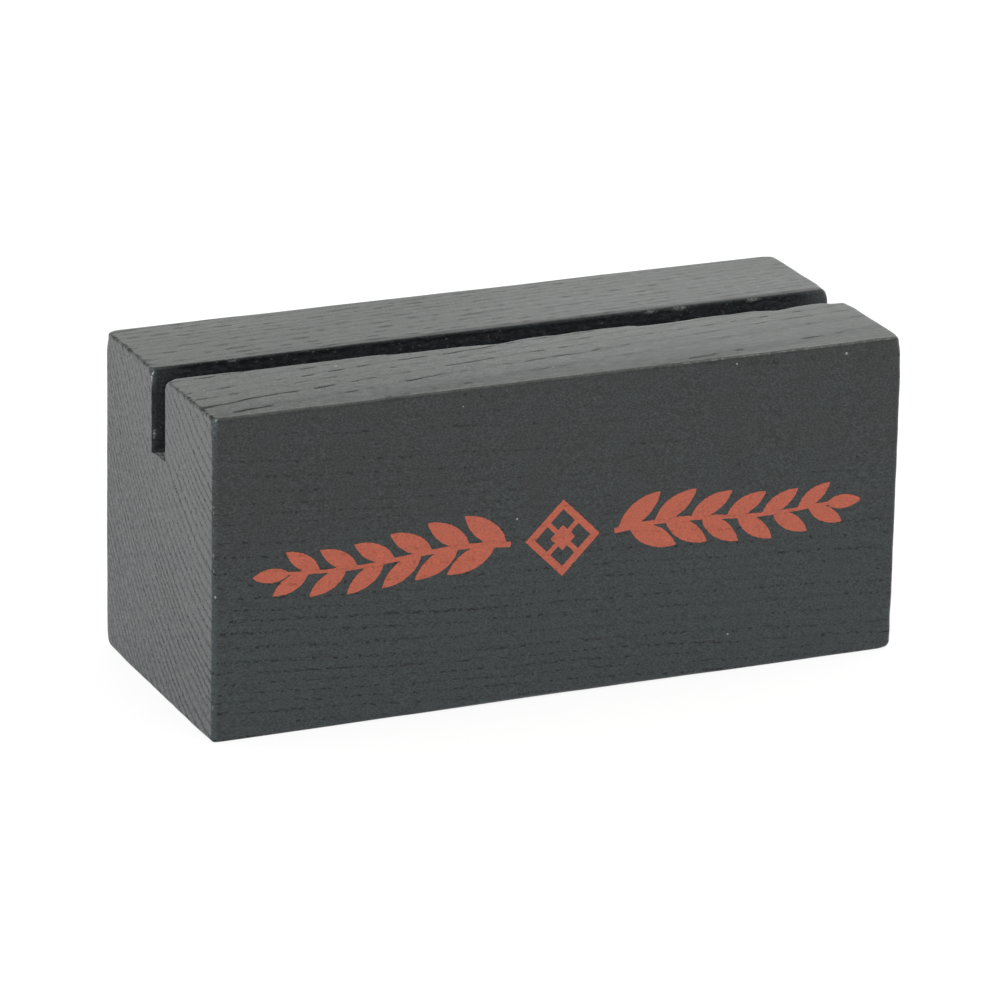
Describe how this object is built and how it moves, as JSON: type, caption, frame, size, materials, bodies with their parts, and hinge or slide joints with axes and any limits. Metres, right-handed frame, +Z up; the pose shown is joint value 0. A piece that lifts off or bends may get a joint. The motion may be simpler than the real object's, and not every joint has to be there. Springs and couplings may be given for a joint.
{
  "type": "menu card holder",
  "caption": "Rectangular solid wooden block that stands on a table, with one slot along its top, open at both ends, to hold a menu card upright, and an ornament printed on its front.",
  "frame": {"origin": "centre of the underside, which stands on the table", "axes": "+X along the block and its slot, +Y from the printed front face to the back face, +Z up, towards the slot's mouth"},
  "size_m": [0.127, 0.0509, 0.0571],
  "materials": {
    "black_stained_wood": "black stain on open-pored ash or oak, satin, with the growth-ring lines and pores showing",
    "red_ink": "thin brick-red printing ink, matt, with the wood's pores showing through"
  },
  "bodies": {
    "root": {"block": "black_stained_wood", "print_lozenge": "red_ink", "print_spray_left": "red_ink", "print_spray_right": "red_ink"}
  },
  "joints": []
}
